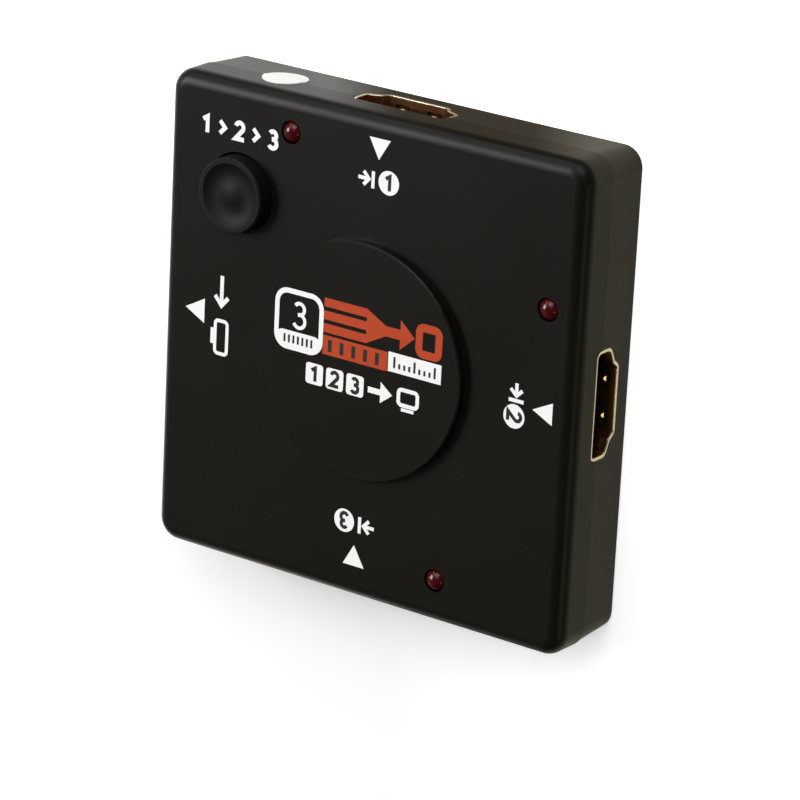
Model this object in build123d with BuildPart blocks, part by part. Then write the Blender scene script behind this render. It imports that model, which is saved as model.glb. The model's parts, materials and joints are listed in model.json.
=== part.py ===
from build123d import *
from math import atan, degrees
import os

# Three-input video switch box, lying on its back cover with the lettered face up.
# Lengths are millimetres. The origin is the middle of the back cover's outer face.
# +Y points to input 1, +X to input 2, -Y to input 3 and -X to the output.

os.makedirs("parts", exist_ok=True)

# Housing
case_width = 66.7
case_length = 66.7
case_height = 13.2
corner_radius = 3.2
front_edge_radius = 2.0
back_edge_chamfer = 0.3
seam_height = 7.6
seam_step = 0.08
back_draft_inset = 0.4
front_draft_inset = 0.1
wall = 1.8
roof = 1.6
floor = 1.35
lip_height = 1.2
lip_width = 0.8
lip_gap = 0.1
cut_overrun = 1.0

# Round boss on the lettered face; the sockets line up with its middle
boss_x = 0.4
boss_y = 0.25
boss_radius = 16.1
boss_height = 1.4
boss_edge_chamfer = 0.2
boss_skin = 1.6

# Circuit board
board_thickness = 1.2
board_gap = 0.35
board_corner_radius = 1.5
standoff_height = 0.75
lead_hole_gap = 0.15

# Case screws, standing in from the case corners
screw_inset = 5.45
screw_head_radius = 1.9
screw_head_height = 1.0
screw_head_chamfer = 0.35
screw_core_radius = 0.85
screw_length = 7.0
screw_hole_gap = 0.25
screw_recess_depth = 1.2
screw_cross_width = 0.6
screw_cross_length = 2.2
screw_cross_depth = 0.6
post_radius = 2.5
post_sides = 8
post_board_gap = 0.05
pilot_gap = 0.05
standoff_radius = 3.0

# Video sockets: D-shaped mouth, wide side towards the lettered face
mouth_width = 14.0
mouth_height = 4.55
mouth_side_height = 2.7
mouth_shoulder_width = 10.4
mouth_shoulder_height = 1.0
mouth_narrow_width = 8.9
mouth_corner_radius = 0.6
shell_wall = 0.4
shell_depth = 11.4
rim_setback = 0.25
shell_opening_gap = 0.1
shell_tab_width = 1.2
shell_tab_front = 3.6
shell_tab_back = 9.2
tab_hole_gap = 0.1
finger_spacing = 5.0
finger_width = 1.7
finger_length = 4.2
finger_front = 0.9
finger_slot = 0.25
finger_bump_width = 0.7
finger_bump_length = 1.0
finger_bump_height = 0.25
finger_bump_depth = 1.9
finger_bump_angle = 40
tongue_width = 11.2
tongue_thickness = 1.2
tongue_rise = 0.25
tongue_setback = 1.6
insulator_depth = 2.6
insulator_gap = 0.04
contact_pitch = 1.0
contact_width = 0.42
contact_thickness = 0.2
contact_inlay = 0.1
upper_contacts = 10
lower_contacts = 9
contact_setback = 0.6
contact_tail_gap = 0.5
contact_foot = 0.9

# Select button
button_edge_x = 12.3
button_edge_y = 14.95
button_radius = 5.15
button_proud = 2.2
button_hole_gap = 0.35
button_edge_chamfer = 0.2
button_rim_width = 0.75
button_valley_radius = 2.5
button_valley_depth = 0.7
button_dome_depth = 0.3
button_top_thickness = 1.3
button_skirt_wall = 1.1
button_flange_width = 1.1
button_flange_thickness = 0.7
button_flange_gap = 0.05
button_post_radius = 2.0
button_post_drop = 0.32
button_web = 0.8
button_plunger_gap = 0.03

# Tact switch under the button
switch_size = 6.0
switch_base_height = 2.9
switch_edge = 0.4
switch_well_radius = 1.95
switch_well_depth = 1.5
plunger_radius = 1.7
plunger_head_radius = 1.9
plunger_head_height = 0.5
plunger_bore_gap = 0.15
cover_plate_thickness = 0.3
cover_plate_gap = 0.02
switch_peg_size = 0.8
switch_peg_height = 0.35
switch_peg_inset = 0.85
dome_radius = 1.85
dome_rise = 0.35
dome_flat_radius = 0.8
dome_thickness = 0.1
terminal_width = 0.7
terminal_thickness = 0.3
terminal_spacing = 4.5
terminal_reach = 0.35
terminal_depth = 0.6

# Lamps, one beside each input
lamp_1_aside = -13.4
lamp_1_inset = 5.1
lamp_2_aside = 13.15
lamp_2_inset = 5.05
lamp_3_aside = 12.9
lamp_3_inset = 6.05
lamp_radius = 1.5
lamp_proud = 0.6
lamp_length = 5.3
lamp_flange_radius = 1.9
lamp_flange_height = 1.0
lamp_hole_gap = 0.1
lamp_lead_size = 0.5
lamp_lead_spacing = 2.54
lamp_lead_tail = 0.4

# Chips and small electronic pieces on the board
chip_size = 10.0
chip_thickness = 1.3
chip_standoff = 0.1
chip_edge = 0.2
chip_leads_per_side = 9
chip_lead_pitch = 0.8
chip_lead_width = 0.35
chip_lead_thickness = 0.15
chip_lead_reach = 1.0
chip_lead_foot = 0.5
crystal_x = 13.5
crystal_y = 12.5
crystal_length = 5.0
crystal_width = 3.2
crystal_height = 1.2
crystal_edge = 0.3
crystal_pad = 0.1
regulator_x = 15.5
regulator_y = -12.5
regulator_length = 6.5
regulator_width = 3.5
regulator_height = 1.6
regulator_lead_width = 0.7
regulator_lead_spacing = 2.3
regulator_lead_reach = 1.7
regulator_lead_thickness = 0.25
regulator_lead_rise = 0.7
regulator_lead_run = 0.8
capacitor_length = 1.6
capacitor_width = 0.8
capacitor_height = 0.8
capacitor_cap = 0.3
capacitor_ring_radius = 9.6

# Round paper seal over the seam, on the side of input 1
seal_aside = -19.1
seal_drop = 0.4
seal_radius = 3.1
seal_thickness = 0.12

# Heights worked out from the sizes above
board_bottom = floor + standoff_height
board_top = board_bottom + board_thickness
roof_underside = case_height - roof
boss_top = case_height + boss_height
mouth_bottom = board_top + shell_wall
mouth_middle = mouth_bottom + mouth_height / 2
button_top = case_height + button_proud
flange_top = roof_underside - button_flange_gap
flange_bottom = flange_top - button_flange_thickness
post_bottom = flange_bottom - button_post_drop
switch_top = post_bottom - button_plunger_gap
lamp_top = case_height + lamp_proud
lamp_base = lamp_top - lamp_length
screw_seat = screw_recess_depth
back_width = case_width - 2 * seam_step
back_length = case_length - 2 * seam_step

button_x = button_edge_x - case_width / 2
button_y = case_length / 2 - button_edge_y
seal_x = boss_x + seal_aside
seal_height = seam_height - seal_drop
sides = (
    ("in1", 90, case_length / 2 - rim_setback),
    ("in2", 0, case_width / 2 - rim_setback),
    ("in3", -90, case_length / 2 - rim_setback),
    ("out", 180, case_width / 2 - rim_setback),
)
lamp_places = (
    ("1", boss_x + lamp_1_aside, case_length / 2 - lamp_1_inset),
    ("2", case_width / 2 - lamp_2_inset, boss_y + lamp_2_aside),
    ("3", boss_x + lamp_3_aside, lamp_3_inset - case_length / 2),
)
screw_spots = [
    (sign_x * (case_width / 2 - screw_inset), sign_y * (case_length / 2 - screw_inset))
    for sign_x in (-1, 1)
    for sign_y in (-1, 1)
]
lamp_lead_offsets = (-lamp_lead_spacing / 2, lamp_lead_spacing / 2)
terminal_offsets = [
    (sign_x * terminal_spacing / 2, sign_y * (switch_size / 2 + terminal_thickness / 2))
    for sign_x in (-1, 1)
    for sign_y in (-1, 1)
]


def taper_angle(inset, height):
    """Draft angle, in degrees, that moves a wall in by inset over height."""
    return degrees(atan(inset / height))


def side_plane(angle, reach):
    """Upright plane on one side of the case: x runs along the side, y up, z outward."""
    outward = Vector(1, 0, 0).rotate(Axis.Z, angle)
    along = Vector(0, 1, 0).rotate(Axis.Z, angle)
    if abs(outward.X) > abs(outward.Y):
        foot = Vector(outward.X * reach, boss_y, mouth_middle)
    else:
        foot = Vector(boss_x, outward.Y * reach, mouth_middle)
    return Plane(origin=foot, x_dir=along, z_dir=outward)


def front_block(growth):
    """Outer form of the front cover without its boss, grown outward by growth."""
    with BuildPart() as block:
        with BuildSketch(Plane.XY.offset(seam_height)):
            RectangleRounded(
                case_width + 2 * growth, case_length + 2 * growth, corner_radius + growth
            )
        extrude(
            amount=case_height + growth - seam_height,
            taper=taper_angle(front_draft_inset, case_height - seam_height),
        )
        fillet(block.faces().sort_by(Axis.Z)[-1].edges(), front_edge_radius + growth)
    return block.part


def back_block(growth):
    """Outer form of the back cover, which draws in towards the back, grown by growth."""
    with BuildPart() as block:
        with BuildSketch(Plane.XY.offset(seam_height)):
            RectangleRounded(
                back_width + 2 * growth, back_length + 2 * growth, corner_radius + growth
            )
        extrude(
            amount=-(seam_height + growth),
            taper=taper_angle(back_draft_inset, seam_height),
        )
        chamfer(block.faces().sort_by(Axis.Z)[0].edges(), back_edge_chamfer)
    return block.part


def mouth_outline(growth):
    """D-shaped face of a socket mouth around its middle, grown outward by growth."""
    half_wide = mouth_width / 2
    half_shoulder = mouth_shoulder_width / 2
    half_narrow = mouth_narrow_width / 2
    half_high = mouth_height / 2
    side_foot = half_high - mouth_side_height
    shoulder = mouth_shoulder_height - half_high
    with BuildSketch() as outline:
        with BuildLine():
            FilletPolyline(
                (-half_wide, half_high),
                (half_wide, half_high),
                (half_wide, side_foot),
                (half_shoulder, shoulder),
                (half_narrow, -half_high),
                (-half_narrow, -half_high),
                (-half_shoulder, shoulder),
                (-half_wide, side_foot),
                radius=mouth_corner_radius,
                close=True,
            )
        make_face()
        if growth:
            offset(amount=growth, mode=Mode.REPLACE)
    return outline.sketch


# Front cover: roof, walls, round boss, screw posts, button hole and lamp holes
inner_width = case_width - 2 * wall
inner_length = case_length - 2 * wall
inner_corner = corner_radius - wall
pilot_top = screw_seat + screw_length + cut_overrun
lamp_spots = [(x, y) for _, x, y in lamp_places]

with BuildPart() as front_cover:
    add(front_block(0))
    with BuildSketch(Plane.XY.offset(case_height)):
        with Locations((boss_x, boss_y)):
            Circle(boss_radius)
    extrude(amount=boss_height)
    chamfer(front_cover.faces().sort_by(Axis.Z)[-1].edges(), boss_edge_chamfer)
    with BuildSketch(Plane.XY.offset(seam_height)):
        RectangleRounded(inner_width, inner_length, inner_corner)
    extrude(amount=roof_underside - seam_height, mode=Mode.SUBTRACT)
    with BuildSketch(Plane.XY.offset(roof_underside)):
        with Locations((boss_x, boss_y)):
            Circle(boss_radius - boss_skin)
    extrude(amount=boss_top - boss_skin - roof_underside, mode=Mode.SUBTRACT)
    # Groove that takes the back cover's lip
    with BuildSketch(Plane.XY.offset(seam_height)):
        RectangleRounded(
            inner_width + 2 * (lip_width + lip_gap),
            inner_length + 2 * (lip_width + lip_gap),
            inner_corner + lip_width + lip_gap,
        )
    extrude(amount=lip_height + lip_gap, mode=Mode.SUBTRACT)
    with BuildSketch(Plane.XY.offset(board_top + post_board_gap)):
        with Locations(*screw_spots):
            RegularPolygon(post_radius, post_sides, major_radius=False)
    extrude(until=Until.NEXT)
    with BuildSketch(Plane.XY.offset(board_top)):
        with Locations(*screw_spots):
            Circle(screw_core_radius + pilot_gap)
    extrude(amount=pilot_top - board_top, mode=Mode.SUBTRACT)
    with BuildSketch(Plane.XY.offset(roof_underside)):
        with Locations((button_x, button_y)):
            Circle(button_radius + button_hole_gap)
        with Locations(*lamp_spots):
            Circle(lamp_radius + lamp_hole_gap)
    extrude(amount=roof + cut_overrun, mode=Mode.SUBTRACT)
    for _, angle, reach in sides:
        with BuildSketch(side_plane(angle, reach)):
            add(mouth_outline(shell_wall + shell_opening_gap))
        extrude(amount=wall + cut_overrun, both=True, mode=Mode.SUBTRACT)
front_cover.part.label = "front_cover"
export_step(front_cover.part, "parts/front_cover.step")

# Back cover: floor, drafted walls, lip, standoffs with recessed screw holes
with BuildPart() as back_cover:
    add(back_block(0))
    with BuildSketch(Plane.XY.offset(floor)):
        RectangleRounded(inner_width, inner_length, inner_corner)
    extrude(amount=seam_height - floor, mode=Mode.SUBTRACT)
    with BuildSketch(Plane.XY.offset(seam_height)):
        RectangleRounded(
            inner_width + 2 * lip_width, inner_length + 2 * lip_width, inner_corner + lip_width
        )
        RectangleRounded(inner_width, inner_length, inner_corner, mode=Mode.SUBTRACT)
    extrude(amount=lip_height)
    with BuildSketch(Plane.XY.offset(floor)):
        with Locations(*screw_spots):
            RegularPolygon(standoff_radius, post_sides, major_radius=False)
    extrude(amount=standoff_height)
    with BuildSketch():
        with Locations(*screw_spots):
            Circle(screw_core_radius + screw_hole_gap)
    extrude(amount=board_bottom, mode=Mode.SUBTRACT)
    with BuildSketch():
        with Locations(*screw_spots):
            Circle(screw_head_radius + screw_hole_gap)
    extrude(amount=screw_seat, mode=Mode.SUBTRACT)
    for _, angle, reach in sides:
        with BuildSketch(side_plane(angle, reach)):
            add(mouth_outline(shell_wall + shell_opening_gap))
        extrude(amount=wall + cut_overrun, both=True, mode=Mode.SUBTRACT)
back_cover.part.label = "back_cover"
export_step(back_cover.part, "parts/back_cover.step")

# Round paper seal, a thin skin that follows both covers across the seam
with BuildPart() as seal:
    with BuildSketch(Plane.XZ.offset(-(case_length / 2 - wall))):
        with Locations((seal_x, seal_height)):
            Circle(seal_radius)
    extrude(amount=-(wall + cut_overrun))
    with BuildPart(mode=Mode.PRIVATE) as seal_form:
        add(front_block(seal_thickness))
        add(back_block(seal_thickness))
    add(seal_form.part, mode=Mode.INTERSECT)
    add(front_block(0), mode=Mode.SUBTRACT)
    add(back_block(0), mode=Mode.SUBTRACT)
seal.part.label = "round_seal"
export_step(seal.part, "parts/round_seal.step")

# Case screws, from the back through the board into the front cover's posts
for number, (x, y) in enumerate(screw_spots, start=1):
    with BuildPart() as screw:
        with BuildSketch(Plane.XY.offset(screw_seat)):
            with Locations((x, y)):
                Circle(screw_head_radius)
        extrude(amount=-screw_head_height)
        chamfer(screw.faces().sort_by(Axis.Z)[0].edges(), screw_head_chamfer)
        with BuildSketch(Plane.XY.offset(screw_seat)):
            with Locations((x, y)):
                Circle(screw_core_radius)
        extrude(amount=screw_length)
        with BuildSketch(Plane.XY.offset(screw_seat - screw_head_height)):
            with Locations((x, y)):
                Rectangle(screw_cross_length, screw_cross_width)
                Rectangle(screw_cross_width, screw_cross_length)
        extrude(amount=screw_cross_depth, mode=Mode.SUBTRACT)
    screw.part.label = f"case_screw_{number}"
    export_step(screw.part, f"parts/case_screw_{number}.step")


# Sockets
outer_half_width = mouth_width / 2 + shell_wall
mouth_top_line = mouth_height / 2
mouth_bottom_line = -mouth_height / 2
tab_side_line = mouth_top_line - mouth_side_height
board_top_line = board_top - mouth_middle
board_bottom_line = board_bottom - mouth_middle
tongue_top = tongue_rise + tongue_thickness / 2
tongue_bottom = tongue_rise - tongue_thickness / 2
tail_depth = shell_depth + contact_tail_gap


def contact_profile(sheet_top, middle):
    """Side view of one contact: a strip in the tongue, a drop behind it and a foot."""
    strip_bottom = sheet_top - contact_thickness
    foot_end = tail_depth + contact_thickness + contact_foot
    with BuildSketch(middle) as profile:
        with BuildLine():
            Polyline(
                (-tongue_setback - contact_setback, sheet_top),
                (-tail_depth - contact_thickness, sheet_top),
                (-tail_depth - contact_thickness, board_top_line + contact_thickness),
                (-foot_end, board_top_line + contact_thickness),
                (-foot_end, board_top_line),
                (-tail_depth, board_top_line),
                (-tail_depth, strip_bottom),
                (-tongue_setback - contact_setback, strip_bottom),
                close=True,
            )
        make_face()
    return profile.sketch


def row_places(count):
    """Middles of count contacts at the pitch, centred on the socket."""
    return [(index - (count - 1) / 2) * contact_pitch for index in range(count)]


def contact_rows(place):
    """Two staggered rows of contacts, one in each face of the tongue."""
    upper_top = tongue_top + contact_thickness - contact_inlay
    lower_top = tongue_bottom + contact_inlay
    profiles = []
    for count, sheet_top in ((upper_contacts, upper_top), (lower_contacts, lower_top)):
        for across in row_places(count):
            origin = place.from_local_coords(Vector(across, 0, 0))
            middle = Plane(origin=origin, x_dir=place.z_dir, z_dir=place.x_dir * -1)
            profiles.append(contact_profile(sheet_top, middle).face())
    with BuildPart() as rows:
        extrude(profiles, contact_width / 2, both=True)
    return rows.part


tab_slots = []
tab_across = outer_half_width - shell_wall / 2
finger_spots = (-finger_spacing / 2, finger_spacing / 2)
broad_walls = (
    (mouth_top_line + shell_wall / 2, -1),
    (mouth_bottom_line - shell_wall / 2, 1),
)
for name, angle, reach in sides:
    place = side_plane(angle, reach)
    with BuildPart() as shell:
        with BuildSketch(place):
            add(mouth_outline(shell_wall))
            add(mouth_outline(0), mode=Mode.SUBTRACT)
        extrude(amount=-shell_depth)
        tab_top = Plane(
            origin=place.from_local_coords(Vector(0, tab_side_line, 0)),
            x_dir=place.x_dir,
            z_dir=Vector(0, 0, 1),
        )
        outward = tab_top.to_local_coords(place.z_dir + tab_top.origin).Y
        tab_spots = [
            (across, -outward * depth)
            for across in (-tab_across, tab_across)
            for depth in (shell_tab_front, shell_tab_back)
        ]
        with BuildSketch(tab_top):
            with Locations(*tab_spots):
                Rectangle(shell_wall, shell_tab_width)
        extrude(amount=board_bottom_line - tab_side_line)
        # Spring fingers, cut free on three sides, with a bump that meets the plug
        for wall_line, inward in broad_walls:
            wall_plane = Plane(
                origin=place.from_local_coords(Vector(0, wall_line, 0)),
                x_dir=place.x_dir,
                z_dir=Vector(0, 0, inward),
            )
            outward = wall_plane.to_local_coords(place.z_dir + wall_plane.origin).Y
            finger_middle = -outward * (finger_front + finger_length / 2)
            with BuildSketch(wall_plane):
                for across in finger_spots:
                    with Locations((across, finger_middle)):
                        Rectangle(finger_width + 2 * finger_slot, finger_length)
                    with Locations((across, finger_middle - outward * finger_slot)):
                        Rectangle(finger_width, finger_length, mode=Mode.SUBTRACT)
            extrude(amount=shell_wall, both=True, mode=Mode.SUBTRACT)
            with BuildSketch(wall_plane.offset(shell_wall / 2)):
                with Locations(*[(x, -outward * finger_bump_depth) for x in finger_spots]):
                    Rectangle(finger_bump_width, finger_bump_length)
            extrude(amount=finger_bump_height, taper=finger_bump_angle)
    shell.part.label = f"{name}_shell"
    export_step(shell.part, f"parts/{name}_shell.step")
    for x, y in tab_spots:
        corner = tab_top.from_local_coords(Vector(x, y, 0))
        tab_slots.append(Location((corner.X, corner.Y, 0), (0, 0, angle + 90)))

    contacts = contact_rows(place)
    contacts.label = f"{name}_contacts"
    export_step(contacts, f"parts/{name}_contacts.step")

    with BuildPart() as insulator:
        with BuildSketch(place.offset(-shell_depth)):
            add(mouth_outline(-insulator_gap))
        extrude(amount=insulator_depth)
        with BuildSketch(place.offset(-shell_depth)):
            with Locations((0, tongue_rise)):
                Rectangle(tongue_width, tongue_thickness)
        extrude(amount=shell_depth - tongue_setback)
        add(contacts, mode=Mode.SUBTRACT)
    insulator.part.label = f"{name}_tongue"
    export_step(insulator.part, f"parts/{name}_tongue.step")

# Circuit board with screw holes, lamp lead holes, tab slots and terminal holes
with BuildPart() as board:
    with BuildSketch(Plane.XY.offset(board_bottom)):
        RectangleRounded(
            inner_width - 2 * board_gap, inner_length - 2 * board_gap, board_corner_radius
        )
        with Locations(*screw_spots):
            Circle(screw_core_radius + screw_hole_gap, mode=Mode.SUBTRACT)
        for x, y in lamp_spots:
            with Locations(*[(x + step, y) for step in lamp_lead_offsets]):
                Rectangle(
                    lamp_lead_size + 2 * lead_hole_gap, lamp_lead_size + 2 * lead_hole_gap,
                    mode=Mode.SUBTRACT,
                )
        with Locations(*tab_slots):
            Rectangle(
                shell_wall + 2 * tab_hole_gap, shell_tab_width + 2 * tab_hole_gap,
                mode=Mode.SUBTRACT,
            )
        with Locations((button_x, button_y)):
            with Locations(*terminal_offsets):
                Rectangle(
                    terminal_width + 2 * tab_hole_gap, terminal_thickness + 2 * tab_hole_gap,
                    mode=Mode.SUBTRACT,
                )
    extrude(amount=board_thickness)
board.part.label = "circuit_board"
export_step(board.part, "parts/circuit_board.step")

# Select button: dished top with a low dome, hollow skirt, flange, post and four webs
skirt_inner_radius = button_radius - button_skirt_wall
flange_radius = button_radius + button_flange_width
cap_inside_top = button_top - button_valley_depth - button_top_thickness
rim_radius = button_radius - button_rim_width
valley_height = button_top - button_valley_depth
dome_height = button_top - button_dome_depth

with BuildPart() as button:
    with BuildSketch(Plane.XZ.offset(-button_y)):
        with BuildLine():
            Polyline(
                (button_x, dome_height),
                (button_x, flange_bottom),
                (button_x + flange_radius, flange_bottom),
                (button_x + flange_radius, flange_top),
                (button_x + button_radius, flange_top),
                (button_x + button_radius, button_top),
                (button_x + rim_radius, button_top),
            )
            TangentArc(
                (button_x + button_valley_radius, valley_height),
                (button_x + rim_radius, button_top),
                tangent=(1, 0),
            )
            TangentArc(
                (button_x + button_valley_radius, valley_height),
                (button_x + button_valley_radius / 2, (valley_height + dome_height) / 2),
                tangent=(-1, 0),
            )
            TangentArc(
                (button_x, dome_height),
                (button_x + button_valley_radius / 2, (valley_height + dome_height) / 2),
                tangent=(1, 0),
            )
        make_face()
    revolve(axis=Axis((button_x, button_y, 0), (0, 0, 1)))
    rim_edges = button.edges().filter_by(GeomType.CIRCLE).group_by(Axis.Z)[-1]
    chamfer(rim_edges.sort_by(SortBy.RADIUS)[-1], button_edge_chamfer)
    with BuildSketch(Plane.XY.offset(flange_bottom)):
        with Locations((button_x, button_y)):
            Circle(skirt_inner_radius)
            Circle(button_post_radius, mode=Mode.SUBTRACT)
            with PolarLocations(button_post_radius - button_web, 4):
                Rectangle(
                    2 * skirt_inner_radius, button_web, align=(Align.MIN, Align.CENTER),
                    mode=Mode.SUBTRACT,
                )
    extrude(amount=cap_inside_top - flange_bottom, mode=Mode.SUBTRACT)
    with BuildSketch(Plane.XY.offset(flange_bottom)):
        with Locations((button_x, button_y)):
            Circle(button_post_radius)
    extrude(amount=-(flange_bottom - post_bottom))
button.part.label = "select_button"
export_step(button.part, "parts/select_button.step")

# Tact switch base with a well for the dome and four pegs
base_top = board_top + switch_base_height
plate_top = base_top + cover_plate_thickness
peg_place = switch_size / 2 - switch_peg_inset

with BuildPart() as switch_base:
    with BuildSketch(Plane.XY.offset(board_top)):
        with Locations((button_x, button_y)):
            Rectangle(switch_size, switch_size)
    extrude(amount=switch_base_height)
    chamfer(switch_base.edges().filter_by(Axis.Z), switch_edge)
    with BuildSketch(Plane.XY.offset(base_top)):
        with Locations((button_x, button_y)):
            Circle(switch_well_radius)
    extrude(amount=-switch_well_depth, mode=Mode.SUBTRACT)
    with BuildSketch(Plane.XY.offset(base_top)):
        with Locations((button_x, button_y)):
            with GridLocations(2 * peg_place, 2 * peg_place, 2, 2):
                Rectangle(switch_peg_size, switch_peg_size)
    extrude(amount=cover_plate_thickness + switch_peg_height)
switch_base.part.label = "switch_base"
export_step(switch_base.part, "parts/switch_base.step")

with BuildPart() as switch_plate:
    with BuildSketch(Plane.XY.offset(base_top)):
        with Locations((button_x, button_y)):
            Rectangle(switch_size, switch_size)
            Circle(plunger_radius + plunger_bore_gap, mode=Mode.SUBTRACT)
            with GridLocations(2 * peg_place, 2 * peg_place, 2, 2):
                Rectangle(
                    switch_peg_size + 2 * cover_plate_gap, switch_peg_size + 2 * cover_plate_gap,
                    mode=Mode.SUBTRACT,
                )
    extrude(amount=cover_plate_thickness)
switch_plate.part.label = "switch_plate"
export_step(switch_plate.part, "parts/switch_plate.step")

# Snap dome, a thin sprung cap with a sloping brim at the bottom of the well
dome_base = base_top - switch_well_depth
with BuildPart() as snap_dome:
    with BuildSketch(Plane.XZ.offset(-button_y)):
        with BuildLine():
            Polyline(
                (button_x, dome_base + dome_rise),
                (button_x + dome_flat_radius, dome_base + dome_rise),
                (button_x + dome_radius, dome_base),
                (button_x + dome_radius, dome_base + dome_thickness),
                (button_x + dome_flat_radius, dome_base + dome_rise + dome_thickness),
                (button_x, dome_base + dome_rise + dome_thickness),
                close=True,
            )
        make_face()
    revolve(axis=Axis((button_x, button_y, 0), (0, 0, 1)))
snap_dome.part.label = "snap_dome"
export_step(snap_dome.part, "parts/snap_dome.step")

# Plunger, whose head is caught under the cover plate
plunger_bottom = base_top - plunger_head_height
with BuildPart() as plunger:
    with BuildSketch(Plane.XY.offset(plunger_bottom)):
        with Locations((button_x, button_y)):
            Circle(plunger_head_radius)
    extrude(amount=plunger_head_height)
    with BuildSketch(Plane.XY.offset(plunger_bottom)):
        with Locations((button_x, button_y)):
            Circle(plunger_radius)
    extrude(amount=switch_top - plunger_bottom)
plunger.part.label = "switch_plunger"
export_step(plunger.part, "parts/switch_plunger.step")

# Four terminals, bent down beside the base and through the board
with BuildPart() as terminals:
    terminal_top = board_top + terminal_reach + terminal_depth
    with BuildSketch(Plane.XY.offset(terminal_top)):
        with Locations((button_x, button_y)):
            with Locations(*terminal_offsets):
                Rectangle(terminal_width, terminal_thickness)
    extrude(amount=-(terminal_top - board_bottom + lamp_lead_tail))
terminals.part.label = "switch_terminals"
export_step(terminals.part, "parts/switch_terminals.step")

# Lamps: a domed lens with a flange, on two leads through the board
dome_start = lamp_top - lamp_radius
for number, x, y in lamp_places:
    with BuildPart() as lens:
        with BuildSketch(Plane.XZ.offset(-y)):
            with BuildLine():
                Polyline(
                    (x, lamp_base),
                    (x + lamp_flange_radius, lamp_base),
                    (x + lamp_flange_radius, lamp_base + lamp_flange_height),
                    (x + lamp_radius, lamp_base + lamp_flange_height),
                    (x + lamp_radius, dome_start),
                )
                CenterArc((x, dome_start), lamp_radius, 0, 90)
                Line((x, lamp_top), (x, lamp_base))
            make_face()
        revolve(axis=Axis((x, y, 0), (0, 0, 1)))
    lens.part.label = f"lamp_{number}_lens"
    export_step(lens.part, f"parts/lamp_{number}_lens.step")

    with BuildPart() as leads:
        with BuildSketch(Plane.XY.offset(lamp_base)):
            with Locations(*[(x + step, y) for step in lamp_lead_offsets]):
                Rectangle(lamp_lead_size, lamp_lead_size)
        extrude(amount=-(lamp_base - board_bottom + lamp_lead_tail))
    leads.part.label = f"lamp_{number}_leads"
    export_step(leads.part, f"parts/lamp_{number}_leads.step")


def bent_lead(start, outward, width, thickness, rise, run, foot):
    """Lead that leaves a package at start, steps down to the board and ends in a foot."""
    across = Vector(0, 0, 1).cross(outward)
    with BuildSketch(Plane(origin=start, x_dir=outward, z_dir=across * -1)) as shape:
        with BuildLine():
            Polyline(
                (0, rise),
                (run, rise),
                (run, thickness),
                (run + foot, thickness),
                (run + foot, 0),
                (run - thickness, 0),
                (run - thickness, rise - thickness),
                (0, rise - thickness),
                close=True,
            )
        make_face()
    return extrude(shape.sketch, width / 2, both=True, mode=Mode.PRIVATE)


# Main switching chip in a flat square package with leads on all four sides
chip_bottom = board_top + chip_standoff
chip_lead_rise = chip_standoff + chip_thickness / 2
with BuildPart() as chip:
    with BuildSketch(Plane.XY.offset(chip_bottom)):
        with Locations((boss_x, boss_y)):
            Rectangle(chip_size, chip_size)
    extrude(amount=chip_thickness)
    chamfer(chip.faces().sort_by(Axis.Z)[-1].edges(), chip_edge)
chip.part.label = "switch_chip"
export_step(chip.part, "parts/switch_chip.step")

chip_lead_solids = []
for turn in range(4):
    outward = Vector(1, 0, 0).rotate(Axis.Z, turn * 90)
    along = Vector(0, 1, 0).rotate(Axis.Z, turn * 90)
    for index in range(chip_leads_per_side):
        step = (index - (chip_leads_per_side - 1) / 2) * chip_lead_pitch
        start = Vector(boss_x, boss_y, board_top) + outward * (chip_size / 2) + along * step
        chip_lead_solids.append(
            bent_lead(
                start, outward, chip_lead_width, chip_lead_thickness,
                chip_lead_rise, chip_lead_reach - chip_lead_foot, chip_lead_foot,
            ).solid()
        )
with BuildPart() as chip_leads:
    add(chip_lead_solids)
chip_leads.part.label = "chip_leads"
export_step(chip_leads.part, "parts/chip_leads.step")

# Clock crystal in a low metal can
with BuildPart() as crystal:
    with BuildSketch(Plane.XY.offset(board_top)):
        with Locations((crystal_x, crystal_y)):
            Rectangle(crystal_length, crystal_width)
    extrude(amount=crystal_pad)
    with BuildSketch(Plane.XY.offset(board_top + crystal_pad)):
        with Locations((crystal_x, crystal_y)):
            RectangleRounded(
                crystal_length - crystal_edge, crystal_width - crystal_edge, crystal_edge
            )
    extrude(amount=crystal_height - crystal_pad)
    chamfer(crystal.faces().sort_by(Axis.Z)[-1].edges(), crystal_edge / 2)
crystal.part.label = "clock_crystal"
export_step(crystal.part, "parts/clock_crystal.step")

# Voltage regulator with a tab and three leads
with BuildPart() as regulator:
    with BuildSketch(Plane.XY.offset(board_top)):
        with Locations((regulator_x, regulator_y)):
            Rectangle(regulator_length, regulator_width)
    extrude(amount=regulator_height)
    chamfer(regulator.faces().sort_by(Axis.Z)[-1].edges(), chip_edge)
regulator.part.label = "regulator"
export_step(regulator.part, "parts/regulator.step")

with BuildPart() as regulator_leads:
    lower_side = Vector(regulator_x, regulator_y - regulator_width / 2, board_top)
    upper_side = Vector(regulator_x, regulator_y + regulator_width / 2, board_top)
    for index in (-1, 0, 1):
        add(
            bent_lead(
                lower_side + Vector(index * regulator_lead_spacing, 0, 0), Vector(0, -1, 0),
                regulator_lead_width, regulator_lead_thickness, regulator_lead_rise,
                regulator_lead_run, regulator_lead_reach - regulator_lead_run,
            )
        )
    add(
        bent_lead(
            upper_side, Vector(0, 1, 0), regulator_lead_spacing + regulator_lead_width,
            regulator_lead_thickness, regulator_lead_rise,
            regulator_lead_run, regulator_lead_reach - regulator_lead_run,
        )
    )
regulator_leads.part.label = "regulator_leads"
export_step(regulator_leads.part, "parts/regulator_leads.step")

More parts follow.
